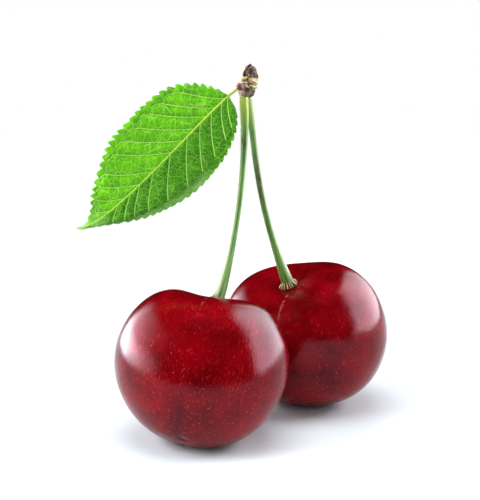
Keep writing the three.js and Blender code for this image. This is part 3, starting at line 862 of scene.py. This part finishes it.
def leaf_points():
    """The petiole and the blade as one closed loft: across each row the upper face from margin to margin,
    then the under face back. Rows blend from a circle on the petiole to the blade. The blade's height is a
    fold, a quilt that sinks to each vein, slow waves and a curl at the lower margin and the tip. Teeth are
    phased by the margin's own length and stand off along its normal; their size and spacing wander."""
    fine = np.linspace(0, 1, 1500)
    blade, _, length = evenly(LEAF_MIDRIB, fine)
    start, base = np.array(PETIOLE_START), np.array(LEAF_MIDRIB[0])
    petiole_length = np.linalg.norm(base - start)
    stub = start + np.linspace(0, 1, 100)[:-1, None] * (base - start)
    path = np.concatenate([stub, blade])
    steps = np.linalg.norm(np.diff(path, axis=0), axis=1)
    travel = np.concatenate([[0], np.cumsum(steps)])
    row = np.linspace(0, 1, LEAF_ROWS)
    distance = travel[-1] * (0.35 * row**2.2 + 0.65 * row)
    centre, ahead, behind = (
        np.stack([np.interp(distance + shift, travel, path[:, axis]) for axis in range(3)], axis=-1)
        for shift in (0, 0.6, -0.6)
    )
    tangent = (ahead - behind) / np.linalg.norm(ahead - behind, axis=1, keepdims=True)
    left, front = cross_frames(tangent, LEAF_FACING)

    share = np.clip((distance - petiole_length) / length, 0, 1)[:, None]
    along = np.clip(distance - petiole_length, 0, None)[:, None]
    across = np.linspace(-1, 1, LEAF_COLUMNS)[None, :]
    out, which_half = np.abs(across), np.sign(across)
    width = np.where(across > 0, half_width(LEAF_UPPER, share), half_width(LEAF_LOWER, share))
    size = 0.9 + 0.5 * lumps(np.stack(np.broadcast_arrays(along, 9 * which_half, 0 * across), -1), 1.9, 61)
    wander = 0.45 * lumps(np.stack(np.broadcast_arrays(along, 5 * which_half, 0 * across), -1), 3.1, 65)
    forward_step, outward_step = np.diff(along, axis=0, prepend=0), np.diff(width, axis=0, prepend=0)
    margin_step = np.hypot(forward_step, outward_step) + 1e-9
    margin = np.cumsum(margin_step, axis=0)
    saw = (margin / TOOTH_SPACING + 0.25 * which_half + wander) % 1.0
    depth = np.where(across > 0, UPPER_TOOTH, LOWER_TOOTH) * size
    open_share = smooth_step(margin, 0.4, 2.0) * smooth_step(share, 0.99, 0.88)
    tooth = np.sin(np.pi * saw**1.7) ** 0.6 * depth * open_share
    jut = (tooth - 0.4 * open_share) * out**6
    reach = out * width + jut * forward_step / margin_step
    forward = 0.35 * tooth * out**6 - jut * outward_step / margin_step

    rib = out * width
    upper_gap, upper_fork = vein_gaps(along + 0 * across, rib, LEAF_UPPER, width, length)
    lower_gap, lower_fork = vein_gaps(along + 0 * across, rib, LEAF_LOWER, width, length)
    vein = np.where(across > 0, upper_gap, lower_gap)
    fork = np.where(across > 0, upper_fork, lower_fork)
    slant = np.radians(LADDER_SLANT)
    rail = along * np.cos(slant) + rib * np.sin(slant)
    rung = (rib * np.cos(slant) - along * np.sin(slant)) / LADDER_STRETCH
    ladder = np.stack(np.broadcast_arrays(rail, rung, 3 * which_half), axis=-1)
    nearest = np.minimum(np.minimum(vein, rib), fork + 0.15)
    sheet = np.stack(np.broadcast_arrays(along, across * width, 0 * across), axis=-1)
    quilt = LEAF_QUILT * (1 - np.exp(-((nearest / 0.6) ** 1.4))) + 0.05 * lumps(sheet, 1.2, 62)
    quilt = quilt + 0.035 * lumps(sheet, 0.55, 66)
    fold = np.tan(np.radians(LEAF_FOLD)) * np.sqrt(rib**2 + 0.2)
    wave = (0.5 * lumps(sheet, 6.0, 63) + 0.16 * lumps(sheet, 2.6, 64)) * out**2
    low_side = smooth_step(-across * width, 0.0, 0.35)
    curl = -LOWER_CURL * low_side * smooth_step(out, 0.5, 1.1) ** 2 * smooth_step(share, 0.2, 0.4)
    curl = curl - TIP_CURL * smooth_step(share, 0.86, 1.0) * out
    # Painted sheen: a pale mask along the rolled lower margin and the tip, where they would catch light.
    painted_sheen = low_side * smooth_step(out, 0.72, 0.95) * smooth_step(share, 0.25, 0.4)
    painted_sheen = np.maximum(painted_sheen, smooth_step(share, 0.8, 0.95)) * (0.6 + 0.4 * lumps(sheet, 2.5, 67))
    lift = fold + wave + curl + quilt

    joined = smooth_step(distance - petiole_length, -0.15, 0.5)[:, None]
    radius = PETIOLE_RADIUS * np.sqrt(np.clip(distance[:, None] / 0.1, 0, 1))
    half = 0.5 * LEAF_THICKNESS * np.sqrt(np.clip(1 - across**8, 0, 1))
    half = half * np.sqrt(np.clip((1 - share) / 0.01, 0, 1))
    midrib = (0.3 - 0.2 * share) * np.exp(-((rib / 0.28) ** 2)) * np.sqrt(np.clip((1 - share) / 0.02, 0, 1))
    sideways = (1 - joined) * radius * np.sin(0.5 * np.pi * across) + joined * which_half * reach
    ring = (1 - joined) * radius * np.cos(0.5 * np.pi * across)
    top = ring + joined * (half + lift)
    bottom = -ring + joined * (lift - half - midrib)
    loops = []
    for height, flip in ((top, 1), (bottom, -1)):
        face = centre[:, None] + sideways[..., None] * left[:, None] + height[..., None] * front[:, None]
        face = face + (joined * forward)[..., None] * tangent[:, None]
        loops.append(face if flip > 0 else face[:, ::-1][:, 1:])
    points = np.concatenate(loops, axis=1)

    def both(values):
        """One value for each point of the upper face, repeated under it."""
        values = np.broadcast_to(values, sideways.shape)
        return np.concatenate([values, values[:, ::-1][:, 1:]], axis=1).ravel()

    under = np.concatenate([np.zeros(sideways.shape), np.ones((LEAF_ROWS, LEAF_COLUMNS - 1))], axis=1).ravel()
    fields = dict(
        sheet=np.stack([both(sheet[..., axis]) for axis in range(3)], axis=-1),
        ladder=np.stack([both(ladder[..., axis]) for axis in range(3)], axis=-1),
        vein=both(vein), fork=both(fork), rib=both(rib - 0.05 * (1 - share)), margin=both(out), under=under,
        lower_half=both(low_side), stem=both(1 - joined), painted_sheen=both(np.clip(painted_sheen, 0, 1)),
    )
    return points.reshape(-1, 3), fields


LEAF_BRIGHT = (0.076, 0.390, 0.0, 1)
LEAF_FRESH = (0.140, 0.560, 0.0, 1)
SHADED_LEAF_DARK = (0.010, 0.120, 0.0, 1)
SHADED_LEAF_LIGHT = (0.028, 0.190, 0.0, 1)
LEAF_PORES_AND_CREASE_SHADE = (0.010, 0.130, 0.0, 1)
LEAF_SHEEN_PALE = (0.330, 0.640, 0.170, 1)
LEAF_UNDER = (0.210, 0.420, 0.110, 1)
VEIN_PALE = (0.400, 0.760, 0.110, 1)
MIDRIB_YELLOW = (0.640, 0.740, 0.110, 1)
PETIOLE_GREEN = (0.390, 0.440, 0.060, 1)
LEAF_SPECK = (0.200, 0.045, 0.010, 1)


def net_group():
    """A net of fine lines: the borders between the cells of a Voronoi pattern."""
    tree, given, result = new_group(
        "Net",
        {"Vector": "Vector", "Spacing": "Float", "Width": "Float"},
        {"Mask": "Float"},
    )
    scale = worked_out(tree, "DIVIDE", 1.0, given["Spacing"])
    sockets = {"Vector": given["Vector"], "Scale": scale}
    cells = add_node(tree, "ShaderNodeTexVoronoi", sockets, feature="DISTANCE_TO_EDGE")
    reach = times(tree, cells.outputs["Distance"], given["Spacing"])
    line = worked_out(tree, "DIVIDE", reach, given["Width"])
    tree.links.new(step_mask(tree, line, 1.0, 0.0), result.inputs["Mask"])
    return tree


def leaf_material():
    """Leaf blade: fresh green above the midrib, and deeper below it where shade is painted on the lower half;
    clouded and finely pored, with painted shade beside its sunken veins and a painted pale sheen along its
    lower margin and tip. Side veins and their forks are pale, the midrib yellow, and a ladder and a finer net
    fill the spaces between; the margin is brighter, the under face dull, with a few rusty specks."""
    material, tree, principled = new_material("leaf_blade")
    sheet = field(tree, "sheet", "Vector")
    cloud = clouds(tree, sheet, 3.0, 0.35, 0.65)["Mask"]
    # Painted light and shade: the upper half gets lighter greens and the lower half darker greens, as the
    # light falls on the fold.
    upper = blend(tree, cloud, LEAF_BRIGHT, LEAF_FRESH)
    lower = blend(tree, cloud, SHADED_LEAF_DARK, SHADED_LEAF_LIGHT)
    colour = blend(tree, field(tree, "lower_half"), upper, lower)
    warp = add_node(tree, "ShaderNodeTexNoise", {"Vector": sheet, "Scale": 0.9, "Detail": 1.0})
    sockets = {0: sheet, 1: warp.outputs["Color"]}
    warped = add_node(tree, "ShaderNodeVectorMath", sockets, operation="ADD").outputs[0]
    steps = field(tree, "ladder", "Vector")
    ladder = use_group(tree, net, {"Vector": steps, "Spacing": 1.15, "Width": 0.06})["Mask"]
    mesh = use_group(tree, net, {"Vector": warped, "Spacing": 0.36, "Width": 0.04})["Mask"]
    faint = plus(tree, times(tree, field(tree, "lower_half"), -0.3), 0.6)
    lines = larger(tree, times(tree, ladder, faint), times(tree, mesh, 0.28))
    side_vein = step_mask(tree, field(tree, "vein"), 0.10, 0.02)
    fork = step_mask(tree, field(tree, "fork"), 0.09, 0.02)
    pores = clouds(tree, sheet, 0.28, 0.5, 0.62)["Mask"]
    colour = blend(tree, times(tree, pores, 0.45), colour, LEAF_PORES_AND_CREASE_SHADE)
    # Painted shade in the sunken creases beside the side veins.
    seam = step_mask(tree, field(tree, "vein"), 0.5, 0.12)
    colour = blend(tree, times(tree, seam, 0.35), colour, LEAF_PORES_AND_CREASE_SHADE)
    # Painted sheen on the rolled lower margin and the tip.
    colour = blend(tree, times(tree, field(tree, "painted_sheen"), 0.55), colour, LEAF_SHEEN_PALE)
    lines = larger(tree, lines, times(tree, fork, 0.6))
    lines = larger(tree, lines, side_vein)
    colour = blend(tree, lines, colour, VEIN_PALE)
    edge = step_mask(tree, field(tree, "margin"), 0.93, 1.0)
    colour = blend(tree, times(tree, edge, 0.5), colour, LEAF_FRESH)
    colour = blend(tree, times(tree, field(tree, "under"), 0.7), colour, LEAF_UNDER)
    midrib = step_mask(tree, field(tree, "rib"), 0.08, 0.0)
    colour = blend(tree, midrib, colour, MIDRIB_YELLOW)
    colour = blend(tree, field(tree, "stem"), colour, PETIOLE_GREEN)
    specks = spots(tree, sheet, 2.6, 0.2, 0.05)["Mask"]
    colour = blend(tree, times(tree, specks, 0.7), colour, LEAF_SPECK)
    tree.links.new(colour, principled.inputs["Base Color"])
    roughen(tree, principled, lines, 0.00004, 0.6, invert=True)
    principled.inputs["Roughness"].default_value = 0.42
    principled.inputs["IOR"].default_value = 1.2
    return material


net = net_group()
points, fields = leaf_points()
blade = leaf_material()
leaf = make_piece("leaf_sheet", points, grid_quads(LEAF_ROWS, 2 * LEAF_COLUMNS - 1), blade, **fields)
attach(leaf, "root")
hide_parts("leaf")


# ---- The floor, the light and the camera ----
# A pale floor that thins out on all sides, a tall glowing card on each side that only shows in gloss, three
# soft lamps that light all but the gloss, and a white surround behind it all.

CAMERA_DISTANCE = 460
CAMERA_ELEVATION = 16
CAMERA_AIM = (0.0, 0.0, 31.5)
LENS = 211.5  # on a 36 mm sensor
FLOOR_MIDDLE, FLOOR_REACH, FLOOR_ROWS = (150, 350), 650, 110
CARD_ROWS = 25
CARD_TINT = (1.0, 0.97, 1.04)


def soft_card(name, side, front, back, foot, height, glow):
    """An upright glowing sheet to one side, with its foot and its height along Z. Its front edge leans back
    by the square of the height. glow gives its strength from the distances along Y and up, in
    millimetres."""
    share, z = np.meshgrid(np.linspace(0, 1, CARD_ROWS), np.linspace(foot, height, CARD_ROWS))
    y_front = front[0] + (front[1] - front[0]) * (z / height) ** 2
    y = y_front + (back - y_front) * share
    points = np.stack([np.full(y.shape, float(side)), y, z], axis=-1).reshape(-1, 3)
    material, tree, principled = new_material(name)
    principled.inputs["Base Color"].default_value = (0, 0, 0, 1)
    principled.inputs["Specular IOR Level"].default_value = 0.0
    principled.inputs["Emission Strength"].default_value = 1.0
    tree.links.new(field(tree, "glow", "Vector"), principled.inputs["Emission Color"])
    strength = glow(points[:, 1], points[:, 2])[:, None] * CARD_TINT
    card = make_piece(name, points, grid_quads(CARD_ROWS, CARD_ROWS), material, glow=strength)
    card.visible_camera = card.visible_diffuse = False


def left_glow(y, z):
    """A bright bell-shaped core behind the fruits over a broad dim sheet that fades on all sides."""
    core = 22 * np.exp(-(((y - 190) / 225) ** 2) - ((z - 36) / 54) ** 2)
    sheet = smooth_step(y, -170, 160) * smooth_step(y, 560, 300)
    sheet = sheet * smooth_step(z, 380, 80) * smooth_step(z, -60, 80)
    return core + 8 * sheet


def right_glow(y, _):
    """A sheet with sharp edges, as bright at any height, that dims towards its back."""
    return 12.5 - 9 * smooth_step(y, 60, 620)


side, back = np.meshgrid(np.linspace(-1, 1, FLOOR_ROWS), np.linspace(-1, 1, FLOOR_ROWS))
floor_x, floor_y = FLOOR_MIDDLE[0] + FLOOR_REACH * side.ravel(), FLOOR_MIDDLE[1] + FLOOR_REACH * back.ravel()
thick = smooth_step(floor_y, -150, -48) * smooth_step(floor_y, 210, 70)
thick = thick * smooth_step(floor_x, -290, -150) * smooth_step(floor_x, 330, 240)
floor_material, floor_tree, floor_principled = new_material("floor_white")
floor_tree.links.new(field(floor_tree, "thick"), floor_principled.inputs["Alpha"])
floor_principled.inputs["Base Color"].default_value = (0.82, 0.90, 0.96, 1)
floor_principled.inputs["Roughness"].default_value = 0.6
floor_principled.inputs["Specular IOR Level"].default_value = 0.0
floor_points = np.stack([floor_x, floor_y, 0 * floor_x], axis=-1)
floor = make_piece("floor", floor_points, grid_quads(FLOOR_ROWS, FLOOR_ROWS), floor_material, thick=thick)

soft_card("left_card", -300, (-170, -170), 560, -90, 380, left_glow)
soft_card("right_card", 300, (-155, 190), 900, 0.5, 760, right_glow)

LAMP_AIM, LAMP_SIZE = (2, 8, 20), 260
LAMPS = (  # name, place, power
    ("left_lamp", (-290, -75, 180), 1.8),
    ("right_lamp", (300, 70, 150), 1.2),
    ("top_lamp", (0, -30, 390), 0.8),
)
for name, place, power in LAMPS:
    light = bpy.data.lights.new(name, "AREA")
    light.shape = "RECTANGLE"
    light.size = light.size_y = LAMP_SIZE * 0.001
    light.energy = power
    lamp = bpy.data.objects.new(name, light)
    lamp.location = (np.array(place) + frame_shift) * 0.001
    lamp.rotation_euler = (Vector(LAMP_AIM) - Vector(place)).to_track_quat("-Z", "Y").to_euler()
    lamp.visible_camera = lamp.visible_glossy = False
    bpy.context.scene.collection.objects.link(lamp)

world = bpy.data.worlds.new("surround")
bpy.context.scene.world = world
world.use_nodes = True
world.cycles.sampling_method = "NONE"
surround = world.node_tree
ray = add_node(surround, "ShaderNodeLightPath").outputs
soft_fill = times(surround, ray["Is Diffuse Ray"], 0.5)
strength = plus(surround, ray["Is Camera Ray"], soft_fill)
surround.links.new(strength, surround.nodes["Background"].inputs["Strength"])
surround.nodes["Background"].inputs["Color"].default_value = (1, 1, 1, 1)

aim = (np.array(CAMERA_AIM) + frame_shift) * 0.001
tilt = np.radians(CAMERA_ELEVATION)
camera = bpy.data.objects.new("camera", bpy.data.cameras.new("camera"))
camera.data.lens = LENS
camera.data.clip_start = 0.01
camera.location = aim + np.array([0, -np.cos(tilt), np.sin(tilt)]) * CAMERA_DISTANCE * 0.001
camera.rotation_euler = (np.pi / 2 - tilt, 0, 0)
bpy.context.scene.collection.objects.link(camera)
bpy.context.scene.camera = camera
bpy.context.scene.view_settings.view_transform = "Standard"
